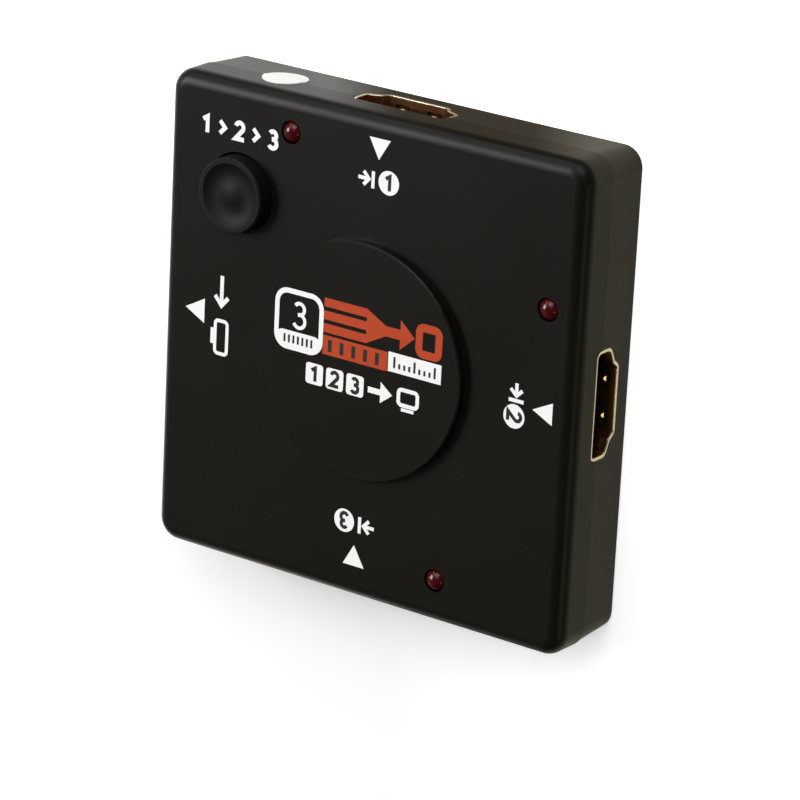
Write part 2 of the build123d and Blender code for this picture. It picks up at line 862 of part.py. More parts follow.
# Ceramic capacitors around the chip, each with two plated ends
with BuildPart() as capacitor_bodies:
    with BuildSketch(Plane.XY.offset(board_top)):
        with Locations((boss_x, boss_y)):
            with PolarLocations(capacitor_ring_radius, 8, start_angle=22.5):
                Rectangle(capacitor_length - 2 * capacitor_cap, capacitor_width)
    extrude(amount=capacitor_height)
capacitor_bodies.part.label = "capacitor_bodies"
export_step(capacitor_bodies.part, "parts/capacitor_bodies.step")

cap_place = (capacitor_length - capacitor_cap) / 2
with BuildPart() as capacitor_ends:
    with BuildSketch(Plane.XY.offset(board_top)):
        with Locations((boss_x, boss_y)):
            with PolarLocations(capacitor_ring_radius, 8, start_angle=22.5):
                with Locations((-cap_place, 0), (cap_place, 0)):
                    Rectangle(capacitor_cap, capacitor_width)
    extrude(amount=capacitor_height)
capacitor_ends.part.label = "capacitor_ends"
export_step(capacitor_ends.part, "parts/capacitor_ends.step")
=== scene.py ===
# %% [markdown]
# # Three-input video switch box
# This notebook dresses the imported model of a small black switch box. The box lies on its
# back cover, printed face up. Its metal, plastic and electronic pieces come from the CAD
# model, so here they only get their finishes. The prints on the face and the rolled rims
# of the sockets are new pieces. We load the frame first, because every later piece is
# placed by it.

# %% Load the frame
import bpy, json, math
import numpy as np
from mathutils import Matrix, Vector


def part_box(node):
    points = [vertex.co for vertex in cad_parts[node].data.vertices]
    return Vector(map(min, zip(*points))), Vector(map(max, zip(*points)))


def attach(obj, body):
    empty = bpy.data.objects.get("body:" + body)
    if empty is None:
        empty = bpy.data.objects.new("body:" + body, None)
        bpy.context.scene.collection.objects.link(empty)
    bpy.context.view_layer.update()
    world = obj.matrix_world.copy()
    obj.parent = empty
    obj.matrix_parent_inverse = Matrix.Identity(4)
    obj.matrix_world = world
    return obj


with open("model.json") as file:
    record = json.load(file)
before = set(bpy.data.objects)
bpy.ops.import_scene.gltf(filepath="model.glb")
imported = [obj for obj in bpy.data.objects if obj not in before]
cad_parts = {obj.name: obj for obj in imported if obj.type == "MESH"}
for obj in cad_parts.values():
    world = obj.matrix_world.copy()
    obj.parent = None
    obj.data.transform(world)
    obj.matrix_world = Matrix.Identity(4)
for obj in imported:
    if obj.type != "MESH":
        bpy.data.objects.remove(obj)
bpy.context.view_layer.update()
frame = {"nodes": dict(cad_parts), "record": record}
nodes = frame["nodes"]
MM = 0.001

# %% [markdown]
# ## Camera
# A photograph of a product is taken from a distance with a long lens, so that its edges
# stay nearly parallel. The camera below was fitted to the corners of the box. It is given
# by its place and by the three directions that its own axes point to.

# %% Camera at the photograph's viewpoint
camera_data = bpy.data.cameras.new("photo_camera")
camera_data.sensor_width = 36.0
camera_data.lens = 194.32
camera_data.clip_start, camera_data.clip_end = 0.01, 20.0
camera = bpy.data.objects.new("photo_camera", camera_data)
bpy.context.scene.collection.objects.link(camera)
camera_place = Vector((0.308858, 0.179264, 0.449058))
right = Vector((0.810903, 0.048643, -0.583156))
upward = Vector((-0.228084, 0.943999, -0.238417))
backward = Vector((0.538901, 0.326342, 0.776586))
turn = Matrix((right, upward, backward)).transposed().to_4x4()
camera.matrix_world = Matrix.Translation(camera_place) @ turn
bpy.context.scene.camera = camera
bpy.context.scene.view_settings.view_transform = "Standard"
print("camera", round(camera_place.length, 3), "m away, lens", camera_data.lens, "mm")

# %% [markdown]
# ## Small helpers for shader nodes
# A material is a graph. Making each node and link by hand takes many lines, so short
# helpers add a node, join sockets, and start a material or a node group. A node group is
# a graph with named inputs and outputs that several materials share. A Mix node has
# several sockets of the same name, one for each kind of value, so those go by number.

# %% Node helpers
def add_node(tree, kind, **settings):
    """A new node of that kind, with attributes and input values set by name."""
    node = tree.nodes.new(kind)
    for name, value in settings.items():
        if name in node.bl_rna.properties:
            setattr(node, name, value)
        else:
            node.inputs[name.replace("_", " ")].default_value = value
    return node


def join(tree, *pairs):
    """Links each (node, output) to its (node, input), each given by name or number."""
    for (source, out), (target, into) in pairs:
        tree.links.new(source.outputs[out], target.inputs[into])


def new_group(name, inputs, outputs):
    """An empty shader node group with number inputs and the outputs' kinds."""
    tree = bpy.data.node_groups.new(name, "ShaderNodeTree")
    for label, value in inputs.items():
        socket = tree.interface.new_socket(label, in_out="INPUT", socket_type="NodeSocketFloat")
        socket.default_value = value
    for label, kind in outputs.items():
        tree.interface.new_socket(label, in_out="OUTPUT", socket_type="NodeSocket" + kind)
    return tree, tree.nodes.new("NodeGroupInput"), tree.nodes.new("NodeGroupOutput")


def place_group(tree, group, **values):
    """Puts a node group into a material's graph with its own values."""
    node = tree.nodes.new("ShaderNodeGroup")
    node.node_tree = group
    for label, value in values.items():
        node.inputs[label.replace("_", " ")].default_value = value
    return node


def new_material(name, **shader):
    """A material with one Principled shader, whose sockets take the given values."""
    material = bpy.data.materials.new(name)
    material.use_nodes = True
    tree = material.node_tree
    surface = tree.nodes["Principled BSDF"]
    for label, value in shader.items():
        surface.inputs[label.replace("_", " ")].default_value = value
    return material, tree, surface


FACTOR, FIRST, SECOND, MIXED = 0, 6, 7, 2


def colour_mix(tree, first=None, second=None):
    """A Mix node for colours, with the colours that are given and not linked later."""
    node = add_node(tree, "ShaderNodeMix", data_type="RGBA")
    for socket, colour in ((FIRST, first), (SECOND, second)):
        if colour is not None:
            node.inputs[socket].default_value = (*colour, 1)
    return node

# %% [markdown]
# ## Grain of moulded plastic
# A moulding tool for a case like this is eroded by sparks, which leaves a fine, even,
# pebbled grain. A fine noise makes its height. A second, much larger one gives a slow
# change in value, because no moulded face has quite the same sheen all over.

# %% Group: moulded grain
grain, grain_in, grain_out = new_group(
    "moulded_grain", {"Size": 3500.0, "Patch size": 60.0},
    {"Height": "Float", "Sheen": "Float"},
)
where = add_node(grain, "ShaderNodeTexCoord")
pebbles = add_node(grain, "ShaderNodeTexNoise", Detail=3.0, Roughness=0.6)
patches = add_node(grain, "ShaderNodeTexNoise", Detail=2.0, Roughness=0.5)
join(
    grain,
    ((where, "Object"), (pebbles, "Vector")), ((where, "Object"), (patches, "Vector")),
    ((grain_in, "Size"), (pebbles, "Scale")), ((grain_in, "Patch size"), (patches, "Scale")),
    ((pebbles, "Fac"), (grain_out, "Height")), ((patches, "Fac"), (grain_out, "Sheen")),
)
print("group", grain.name, "with", len(grain.nodes), "nodes")


def grained(tree, surface, texture, dullness, strength, depth):
    """The grain's sheen sets a roughness from low to high, and its height the normal."""
    low, high = dullness
    rough = add_node(tree, "ShaderNodeMapRange", To_Min=low, To_Max=high)
    bump = add_node(tree, "ShaderNodeBump", Strength=strength, Distance=depth)
    join(
        tree,
        ((texture, "Sheen"), (rough, "Value")), ((rough, "Result"), (surface, "Roughness")),
        ((texture, "Height"), (bump, "Height")), ((bump, "Normal"), (surface, "Normal")),
    )

# %% [markdown]
# ## Worn edges
# Handling polishes the edges of a case and leaves them a little paler. The Bevel node
# gives the normal that a rounded edge would have. Where it departs from the true normal
# there is an edge. A noise breaks the mask up, so that the wear isn't a drawn line.

# %% Group: worn edges
wear, wear_in, wear_out = new_group(
    "edge_wear", {"Reach": 0.0003, "Patchiness": 900.0}, {"Mask": "Float"}
)
true_normal = add_node(wear, "ShaderNodeNewGeometry")
rounded = add_node(wear, "ShaderNodeBevel", samples=4)
alike = add_node(wear, "ShaderNodeVectorMath", operation="DOT_PRODUCT")
edge = add_node(wear, "ShaderNodeMapRange", From_Min=0.995, From_Max=0.85)
spots_at = add_node(wear, "ShaderNodeTexCoord")
spots = add_node(wear, "ShaderNodeTexNoise", Detail=2.0)
spotted = add_node(wear, "ShaderNodeMapRange", From_Min=0.35, From_Max=0.65)
broken = add_node(wear, "ShaderNodeMath", operation="MULTIPLY")
join(
    wear,
    ((wear_in, "Reach"), (rounded, "Radius")),
    ((true_normal, "Normal"), (alike, 0)), ((rounded, "Normal"), (alike, 1)),
    ((alike, "Value"), (edge, "Value")),
    ((spots_at, "Object"), (spots, "Vector")), ((wear_in, "Patchiness"), (spots, "Scale")),
    ((spots, "Fac"), (spotted, "Value")),
    ((edge, "Result"), (broken, 0)), ((spotted, "Result"), (broken, 1)),
    ((broken, "Value"), (wear_out, "Mask")),
)
print("group", wear.name, "with", len(wear.nodes), "nodes")

# %% [markdown]
# ## Dust
# Black plastic shows dust first. Each speck is a cell of a Voronoi texture whose distance
# to the cell's middle is very small, and a second noise leaves most places clean. Dust
# lies only on faces that look up, so the group also reads the height of the normal.

# %% Group: dust
dust, dust_in, dust_out = new_group(
    "dust", {"Cells": 1400.0, "Speck": 0.1}, {"Mask": "Float"}
)
dust_at = add_node(dust, "ShaderNodeTexCoord")
cells = add_node(dust, "ShaderNodeTexVoronoi")
speck = add_node(dust, "ShaderNodeMath", operation="LESS_THAN")
clean = add_node(dust, "ShaderNodeTexNoise", Scale=220.0, Detail=1.0)
gathered = add_node(dust, "ShaderNodeMapRange", From_Min=0.52, From_Max=0.72)
facing = add_node(dust, "ShaderNodeNewGeometry")
height = add_node(dust, "ShaderNodeSeparateXYZ")
upper = add_node(dust, "ShaderNodeMapRange", From_Min=0.6, From_Max=0.95)
both = add_node(dust, "ShaderNodeMath", operation="MULTIPLY")
settled = add_node(dust, "ShaderNodeMath", operation="MULTIPLY")
join(
    dust,
    ((dust_at, "Object"), (cells, "Vector")), ((dust_in, "Cells"), (cells, "Scale")),
    ((cells, "Distance"), (speck, 0)), ((dust_in, "Speck"), (speck, 1)),
    ((dust_at, "Object"), (clean, "Vector")), ((clean, "Fac"), (gathered, "Value")),
    ((facing, "Normal"), (height, "Vector")), ((height, "Z"), (upper, "Value")),
    ((speck, "Value"), (both, 0)), ((gathered, "Result"), (both, 1)),
    ((both, "Value"), (settled, 0)), ((upper, "Result"), (settled, 1)),
    ((settled, "Value"), (dust_out, "Mask")),
)
print("group", dust.name, "with", len(dust.nodes), "nodes")

# %% [markdown]
# ## Black plastic of the case and the button
# The case is satin black: a very dark colour, a roughness between gloss and matt, and the
# grain as a fine bump. The button is the same plastic from another tool, duller and with
# a finer grain. One function makes both, so that they stay of one family.

# %% Black plastics
PLASTIC_IOR = 1.34
worn_reach = 0.00022
worn_colour = (0.020, 0.018, 0.015)
dust_colour = (0.03, 0.028, 0.026)


def black_plastic(name, colour, dullness, size, depth):
    """Dark plastic, paler on its worn edges, with specks of dust where it looks up."""
    material, tree, surface = new_material(name, IOR=PLASTIC_IOR)
    edges = place_group(tree, wear, Reach=worn_reach)
    specks = place_group(tree, dust)
    worn = colour_mix(tree, colour, worn_colour)
    dusty = colour_mix(tree, second=dust_colour)
    join(
        tree,
        ((edges, "Mask"), (worn, FACTOR)), ((worn, MIXED), (dusty, FIRST)),
        ((specks, "Mask"), (dusty, FACTOR)), ((dusty, MIXED), (surface, "Base Color")),
    )
    grained(tree, surface, place_group(tree, grain, Size=size), dullness, 0.35, depth)
    return material


black_case = black_plastic(
    "black_case", (0.0050, 0.0043, 0.0028), (0.34, 0.44), 3500.0, 0.00002
)
black_button = black_plastic(
    "black_button", (0.0042, 0.0040, 0.0032), (0.56, 0.62), 5000.0, 0.00001
)
print("plastics", black_case.name, black_button.name)

# %% [markdown]
# ## Metals
# The socket shells are stamped steel with a thin gold plating, the contacts are gold on
# bronze, the screws are zinc-plated and the leads are tinned. A metal needs a Metallic
# value of 1 and a colour, and its life is in the roughness: long streaks from rolling
# or stamping, made by a noise that is stretched along one direction.

# %% Group: rolling streaks
streaks, streaks_in, streaks_out = new_group(
    "rolling_streaks", {"Fineness": 1.0}, {"Streak": "Float", "Stain": "Float"}
)
streak_at = add_node(streaks, "ShaderNodeTexCoord")
finer = add_node(streaks, "ShaderNodeVectorMath", operation="SCALE")
stretched = add_node(streaks, "ShaderNodeMapping", Scale=(4000.0, 4000.0, 150.0))
lines = add_node(streaks, "ShaderNodeTexNoise", Scale=1.0, Detail=2.0)
stain = add_node(streaks, "ShaderNodeTexNoise", Scale=400.0, Detail=3.0)
join(
    streaks,
    ((streak_at, "Object"), (finer, 0)), ((streaks_in, "Fineness"), (finer, "Scale")),
    ((finer, "Vector"), (stretched, "Vector")), ((stretched, "Vector"), (lines, "Vector")),
    ((finer, "Vector"), (stain, "Vector")),
    ((lines, "Fac"), (streaks_out, "Streak")), ((stain, "Fac"), (streaks_out, "Stain")),
)
print("group", streaks.name, "with", len(streaks.nodes), "nodes")

# %% Metal finishes
STREAK_DEPTH = 0.000004


def metal(name, colour, stained, low, high):
    """Metal whose colour runs to stained in patches, with roughness from low to high."""
    material, tree, surface = new_material(name, Metallic=1.0)
    texture = place_group(tree, streaks, Fineness=1.0)
    tint = colour_mix(tree, colour, stained)
    patch = add_node(tree, "ShaderNodeMapRange", From_Min=0.45, From_Max=0.7)
    rough = add_node(tree, "ShaderNodeMapRange", To_Min=low, To_Max=high)
    bump = add_node(tree, "ShaderNodeBump", Strength=0.1, Distance=STREAK_DEPTH)
    join(
        tree,
        ((texture, "Stain"), (patch, "Value")), ((patch, "Result"), (tint, FACTOR)),
        ((tint, MIXED), (surface, "Base Color")),
        ((texture, "Streak"), (rough, "Value")), ((rough, "Result"), (surface, "Roughness")),
        ((texture, "Streak"), (bump, "Height")), ((bump, "Normal"), (surface, "Normal")),
    )
    return material


# The shells' gold is darker and redder than bright plating: painted shade, standing in for the
# shade deep inside the socket mouths.
gold_plate = metal("gold_plate", (0.86, 0.52, 0.24), (0.62, 0.28, 0.12), 0.18, 0.30)
# The lip's gold is paler than the shells' gold: a painted highlight for the bright line along
# each rim.
gold_lip_painted_highlight = metal("gold_lip_painted_highlight", (1.0, 0.92, 0.75), (1.0, 0.87, 0.65), 0.16, 0.28)
contact_metal = metal("contact_metal", (0.95, 0.74, 0.40), (0.85, 0.62, 0.30), 0.15, 0.30)
screw_steel = metal("screw_steel", (0.32, 0.31, 0.30), (0.18, 0.17, 0.16), 0.30, 0.50)
tinned_metal = metal("tinned_metal", (0.78, 0.78, 0.77), (0.6, 0.59, 0.56), 0.15, 0.35)
sheet_steel = metal("sheet_steel", (0.62, 0.62, 0.60), (0.5, 0.49, 0.47), 0.22, 0.40)
metals = (gold_plate, gold_lip_painted_highlight, contact_metal, screw_steel, tinned_metal, sheet_steel)
print("metals", [m.name for m in metals])

# %% [markdown]
# ## Resins, board, ceramic, paper and ink
# These are the plain materials inside and on the case. Each takes the moulded grain for
# its bump and a second colour in soft patches, because even a new board, chip or paper
# seal is never one flat colour.

# %% Matt and glossy bodies
FINE_DEPTH = 0.00001
dullness_spread = 0.06


def body(name, colour, other, roughness, size, strength, patch=200.0, **shader):
    """Opaque material of two close colours in patches, with a fine bumped grain."""
    material, tree, surface = new_material(name, **shader)
    texture = place_group(tree, grain, Size=size, Patch_size=patch)
    mix = colour_mix(tree, colour, other)
    join(
        tree,
        ((texture, "Sheen"), (mix, FACTOR)), ((mix, MIXED), (surface, "Base Color")),
    )
    dullness = (roughness - dullness_spread, roughness + dullness_spread)
    grained(tree, surface, texture, dullness, strength, FINE_DEPTH)
    return material


black_insulator = body(
    "black_insulator", (0.012, 0.009, 0.008), (0.022, 0.016, 0.014), 0.5, 4000.0, 0.3
)
chip_black = body("chip_black", (0.018, 0.018, 0.018), (0.03, 0.03, 0.03), 0.6, 6000.0, 0.4)
capacitor_ceramic = body(
    "capacitor_ceramic", (0.40, 0.28, 0.17), (0.52, 0.40, 0.27), 0.45, 8000.0, 0.3, 900.0
)
white_paper = body(
    "white_paper", (0.84, 0.83, 0.80), (0.90, 0.89, 0.87), 0.85, 2500.0, 0.5, 600.0
)
white_print = body(
    "white_print", (0.90, 0.90, 0.88), (0.96, 0.96, 0.95), 0.55, 3500.0, 0.35, 300.0
)
orange_print = body(
    "orange_print", (0.43, 0.040, 0.003), (0.49, 0.053, 0.006), 0.5, 3500.0, 0.35, 300.0
)
black_print = body(
    "black_print", (0.012, 0.011, 0.009), (0.018, 0.016, 0.014), 0.5, 3500.0, 0.35, 300.0
)
green_board = body(
    "green_board", (0.010, 0.11, 0.04), (0.02, 0.20, 0.08), 0.3, 2500.0, 0.25, 500.0,
    Coat_Weight=0.4, Coat_Roughness=0.12,
)
print("inks", [m.name for m in (white_print, orange_print, black_print)])

# %% [markdown]
# ## Red lamp lenses
# Each lamp is a small diode in red epoxy. Unlit, it looks nearly black-red with a soft
# highlight, because light enters the dome and little of it comes back. A shader that
# transmits about half of the light, with a deep red colour, gives that. A noise in the
# colour makes it faintly cloudy.

# %% Lens material
red_lens, lens_tree, lens_surface = new_material(
    "red_lens", IOR=1.5, Roughness=0.16, Transmission_Weight=0.55, Specular_IOR_Level=0.8
)
cloud = place_group(lens_tree, grain, Size=1500.0, Patch_size=700.0)
lens_tint = colour_mix(lens_tree, (0.085, 0.003, 0.002), (0.16, 0.006, 0.006))
join(
    lens_tree,
    ((cloud, "Sheen"), (lens_tint, FACTOR)), ((lens_tint, MIXED), (lens_surface, "Base Color")),
)
print("lens", red_lens.name)

# %% [markdown]
# ## Finishes for the CAD pieces
# The record names a finish for every node. The dictionary below gives the material for
# each of those names, and the loop puts it in place of the plain one on the node.

# %% Assign the finishes
finish_of = {
    "black_case": black_case, "black_button": black_button, "gold_plate": gold_plate,
    "contact_metal": contact_metal, "black_insulator": black_insulator,
    "screw_steel": screw_steel, "red_lens": red_lens, "tinned_metal": tinned_metal,
    "green_board": green_board, "chip_black": chip_black, "sheet_steel": sheet_steel,
    "capacitor_ceramic": capacitor_ceramic, "white_paper": white_paper,
}
subparts = frame["record"]["subparts"]
for subpart in subparts:
    finish = finish_of[subpart["material_slot"]]
    slots = nodes[subpart["node"]].data.materials
    if len(slots) == 0:
        slots.append(finish)
    for place in range(len(slots)):
        slots[place] = finish
print("finished", len(subparts), "nodes")

# %% [markdown]
# ## Rolled rims of the sockets
# The stamped shell of each socket ends in a rounded lip, and that lip draws the bright
# gold line around the mouth: partly by its shape, which catches the lamps, and partly by
# its paler gold, which is a painted highlight. The CAD shell ends flat, so a small bead
# lies on its end. Its path is the mouth's outline. Each corner becomes an arc, which the
# path turns through while its direction swings from one side to the next. The bead is half
# an ellipse, carried along that path. A torus or a bevelled curve would also do, but here
# every point comes from one formula.

# %% Path around a mouth
def rounded_path(corners, radius, steps=7):
    """Closed path with an arc at each corner, and its outward normals.

    Each side's direction turns by the angle to the next side in equal steps. A point of
    the arc is its centre plus the radius times the outward normal, on the turn's side.
    """
    corners = np.asarray(corners, float)
    leave = np.roll(corners, -1, axis=0) - corners
    leave /= np.linalg.norm(leave, axis=1, keepdims=True)
    arrive = np.roll(leave, 1, axis=0)
    cross = arrive[:, 0] * leave[:, 1] - arrive[:, 1] * leave[:, 0]
    turn_by = np.arctan2(cross, np.sum(arrive * leave, axis=1))
    hand = np.sign(turn_by)[:, None]
    start = corners - arrive * radius * np.tan(np.abs(turn_by) / 2)[:, None]
    centre = start - hand * radius * np.c_[arrive[:, 1], -arrive[:, 0]]
    heading = np.arctan2(arrive[:, 1], arrive[:, 0])[:, None]
    heading = heading + turn_by[:, None] * np.linspace(0, 1, steps)[None, :]
    normal = np.stack([np.sin(heading), -np.cos(heading)], axis=-1)
    points = centre[:, None] + hand[:, None] * radius * normal
    return points.reshape(-1, 2), normal.reshape(-1, 2)


mouth_corner_radius = 0.6
mouth_left = [(-7, 2.275), (-7, -0.425), (-5.2, -1.275), (-4.45, -2.275)]
mouth = mouth_left + [(-x, y) for x, y in reversed(mouth_left)]
mouth_path, mouth_normal = rounded_path(mouth, mouth_corner_radius)
print("mouth path", len(mouth_path), "points, spans", np.ptp(mouth_path, axis=0).round(2), "mm")

# %% [markdown]
# ## A new piece on the box
# Every new piece is worked out in millimetres, in the model's own frame, so its object
# stays at the origin. It rides on the housing, because only the button and the plunger
# move. The record's mounts say where each socket's mouth is and which way it opens. The
# rims that face the camera are rolled to the height that the photograph shows.

# %% Gold beads
LIP = 0.24
LIP_GAP = 0.01
LIP_DEPTH = 0.01


def make_piece(name, vertices, faces, material, slot):
    """A mesh piece in millimetres, which rides on the housing."""
    mesh = bpy.data.meshes.new(name)
    mesh.from_pydata((np.asarray(vertices, float) * MM).tolist(), [], faces)
    mesh.materials.append(material)
    mesh.update()
    piece = bpy.data.objects.new(name, mesh)
    bpy.context.scene.collection.objects.link(piece)
    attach(piece, "housing")
    return piece


def rim_bead(foot, outward, rise):
    """Half-ellipse bead: across is cosine times LIP, height is sine times rise.

    It starts LIP_GAP outside the mouth, and a point LIP_DEPTH below its middle closes it.
    """
    angle = np.linspace(np.pi, 0, 9)
    across = np.r_[np.cos(angle), 0.0] * LIP + LIP + LIP_GAP
    height = np.r_[np.sin(angle) * rise, -LIP_DEPTH]
    flat = mouth_path[:, None, :] + mouth_normal[:, None, :] * across[None, :, None]
    sideways = np.cross((0, 0, 1), outward)
    points = (
        np.asarray(foot, float) + flat[..., :1] * sideways
        + flat[..., 1:] * np.array((0.0, 0.0, 1.0))
        + height[None, :, None] * np.asarray(outward, float)
    )
    count, ring = points.shape[:2]
    index = np.arange(count * ring).reshape(count, ring)
    after, beside = np.roll(index, -1, axis=0), np.roll(index, -1, axis=1)
    corner = np.roll(after, -1, axis=1)
    quads = np.stack([index, beside, corner, after], axis=-1).reshape(-1, 4)
    return points.reshape(-1, 3), quads.tolist()


mounts = {mount["name"]: mount for mount in frame["record"]["mounts"]}
rim_rise = {"in1": 0.12, "in2": 0.2, "in3": 0.14, "out": 0.14}
for socket, rise in rim_rise.items():
    mount = mounts[f"{socket}_socket"]
    shape = rim_bead(np.array(mount["pos_m"]) / MM, mount["axis"], rise)
    # Each bead takes the pale lip gold, a painted highlight.
    bead = make_piece(f"{socket}_rim", *shape, gold_lip_painted_highlight, "gold_plate")
    bead.data.polygons.foreach_set("use_smooth", [True] * len(bead.data.polygons))
print("rims", list(rim_rise), "of", len(mouth_path), "sections each")

# %% [markdown]
# ## Prints: how a flat mark is built
# The marks on the face are screen-printed: ink a few hundredths of a millimetre thick.
# Each is a slab with a real top and side, so it catches light as ink does. A slab needs
# only an outline. A stroke is a slab whose outline runs along a path at half its width on
# either side. Corners keep their width because the offset is divided by the cosine of
# half the turn. Marks that overlap lie at slightly different levels, so that no two tops
# share a plane.

# %% Slab and stroke helpers
INK = 0.02
LIFT = 0.004
OVERLAP = 0.002
MITRE_LIMIT = 0.35


def slab(outline, low):
    """Closed prism over a counter-clockwise outline: a cap at low, one at low plus INK."""
    outline = np.asarray(outline, float)
    count = len(outline)
    rings = [np.c_[outline, np.full(count, z)] for z in (low, low + INK)]
    here = np.arange(count)
    after = np.roll(here, -1)
    sides = np.stack([here, after, after + count, here + count], axis=1)
    caps = [here[::-1].tolist(), (here + count).tolist()]
    return np.concatenate(rings), sides.tolist() + caps


def stroke(path, width, low, closed=False):
    """Band along a path: each point is moved half a width along its mitred normal."""
    path = np.asarray(path, float)
    step = np.roll(path, -1, axis=0) - path
    if not closed:
        step[-1] = step[-2]
    step /= np.linalg.norm(step, axis=1, keepdims=True)
    before = np.roll(step, 1, axis=0)
    if not closed:
        before[0] = step[0]
    normal = np.c_[-(step + before)[:, 1], (step + before)[:, 0]]
    normal /= np.linalg.norm(normal, axis=1, keepdims=True)
    square = np.c_[-step[:, 1], step[:, 0]]
    half = width / 2 / np.clip(np.sum(normal * square, axis=1), MITRE_LIMIT, 1.0)
    left, right_side = path + normal * half[:, None], path - normal * half[:, None]
    count = len(path)
    bottom, top = np.full(count, low), np.full(count, low + INK)
    corners = [
        np.c_[left, bottom], np.c_[right_side, bottom], np.c_[right_side, top], np.c_[left, top]
    ]
    here = np.arange(count if closed else count - 1)
    after = (here + 1) % count
    faces = [
        np.stack([k * count + here, ((k + 1) % 4) * count + here,
                  ((k + 1) % 4) * count + after, k * count + after], axis=1)
        for k in range(4)
    ]
    faces = np.concatenate(faces)[:, ::-1].tolist()
    if not closed:
        last = count - 1
        faces.append([0, count, 2 * count, 3 * count])
        faces.append([3 * count + last, 2 * count + last, count + last, last])
    return np.concatenate(corners), faces

# %% Outline helpers
def arc(centre, radius, start, end, count=24):
    """Points on a circle from start to end, in degrees, counter-clockwise when it grows."""
    angle = np.radians(np.linspace(start, end, count))
    return np.c_[centre[0] + radius * np.cos(angle), centre[1] + radius * np.sin(angle)]


def circle(centre, radius, count=48):
    """Counter-clockwise points all round a circle, the first one not repeated."""
    return arc(centre, radius, 0, 360 - 360 / count, count)


def rectangle(low, high):
    """Counter-clockwise rectangle with sharp corners."""
    (x0, y0), (x1, y1) = low, high
    return [(x0, y0), (x1, y0), (x1, y1), (x0, y1)]


def rounded_box(low, high, radius, count=8):
    """Counter-clockwise rectangle with quarter-circle corners."""
    (x0, y0), (x1, y1) = low, high
    corners = (
        (x1, y1, 0, -1, -1), (x0, y1, 90, 1, -1), (x0, y0, 180, 1, 1), (x1, y0, 270, -1, 1)
    )
    return np.concatenate([
        arc((x + radius * sx, y + radius * sy), radius, a, a + 90, count)
        for x, y, a, sx, sy in corners
    ])

# %% [markdown]
# ## Prints: gathering marks into pieces
# Marks of one colour that belong together become one piece. A group is drawn upright
# around its own middle, and is then turned and moved to its place on the face, because
# each input's marks are read from its own side of the box.

# %% Gather, turn and move
def merge(*parts):
    """Joins several (vertices, faces) into one."""
    vertices, faces, offset = [], [], 0
    for points, polygons in parts:
        vertices.append(points)
        faces += [[index + offset for index in polygon] for polygon in polygons]
        offset += len(points)
    return np.concatenate(vertices), faces


def moved(part, angle, x, y):
    """Turns a part about the vertical by angle degrees, then moves it by x and y."""
    points, faces = part
    c, s = math.cos(math.radians(angle)), math.sin(math.radians(angle))
    spun = points[:, :2] @ np.array([[c, s], [-s, c]]) + (x, y)
    return np.c_[spun, points[:, 2]], faces

# %% [markdown]
# ## Digits
# A 1 and a 2 are one stroke each, and a 3 is two strokes that meet in its waist: straight
# runs and arcs joined by runs. Each is drawn in a box about one unit high around its own
# middle, then scaled. Working with strokes keeps every digit at one line weight at any
# size.

# %% Digits 1, 2 and 3
def digit(which, size, weight, low):
    """Stroke in the form of 1, 2 or 3, size high, centred on the origin."""
    waist = (-0.08, 0.01)
    if which == 1:
        paths = [np.array([(-0.24, 0.24), (0.07, 0.42), (0.07, -0.5)])]
    elif which == 2:
        bowl = arc((0, 0.24), 0.26, 170, -35, 20)
        paths = [np.concatenate([bowl, [(-0.28, -0.45), (0.32, -0.45)]])]
    else:
        paths = [
            np.concatenate([arc((-0.01, 0.235), 0.225, 150, -80, 20), [waist]]),
            np.concatenate([[waist], arc((-0.01, -0.235), 0.265, 80, -155, 22)]),
        ]
    bands = [stroke(path * size, weight, low + OVERLAP * k) for k, path in enumerate(paths)]
    return merge(*bands)

# %% [markdown]
# ## Marks beside each socket
# Every socket has a solid triangle that points along the signal. Beside each input, a
# bar-and-arrow mark and a numbered disc say which input it is. The marks are kept plain:
# shapes and numbers, with no words.

# %% Input marks
boss_rise = 1.4
boss_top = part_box("front_cover")[1].z / MM
boss_level = boss_top + LIFT
face_level = boss_top - boss_rise + LIFT
mark_weight, disc_radius, disc_digit = 0.5, 1.62, 2.1


def entry_mark(low):
    """An arrow that runs into a bar, 2.6 wide and 2.3 high, centred on the origin."""
    shaft = stroke([(-1.3, 0.0), (0.2, 0.0)], mark_weight, low)
    head = stroke([(-0.45, 0.9), (0.4, 0.0), (-0.45, -0.9)], mark_weight, low + OVERLAP)
    bar = stroke([(1.05, 1.15), (1.05, -1.15)], mark_weight, low)
    return merge(shaft, head, bar)


# socket, number, turn in degrees, middle of the disc, middle of the arrow, triangle
input_marks = (
    ("in1", 1, 0, (2.92, 24.7), (-0.61, 24.65), ((1.2, 27.45), (2.92, 30.3), (-0.42, 30.3))),
    ("in2", 2, -90, (24.2, -1.8), (24.4, 1.4), ((26.95, -0.2), (30.0, -1.7), (30.0, 1.33))),
    ("in3", 3, 180, (-1.58, -22.67), (1.98, -22.75),
     ((0.2, -25.75), (-1.5, -28.67), (1.96, -28.67))),
)
for socket, number, angle, disc_at, arrow_at, triangle in input_marks:
    marks = merge(
        slab(triangle, face_level),
        slab(circle(disc_at, disc_radius), face_level),
        moved(entry_mark(face_level), angle, *arrow_at),
    )
    make_piece(f"{socket}_marks", *marks, white_print, "white_print")
    figure = digit(number, disc_digit, mark_weight, face_level + INK)
    make_piece(f"{socket}_number", *moved(figure, angle, *disc_at), black_print, "black_case")
print("marks for", [row[0] for row in input_marks], "at", round(face_level, 3), "mm")

# %% [markdown]
# ## Marks for the button and the output
# The button steps through the inputs, so its mark is the row 1 > 2 > 3. The output's mark
# is an arrow into a small screen on a foot, read from that side of the box.

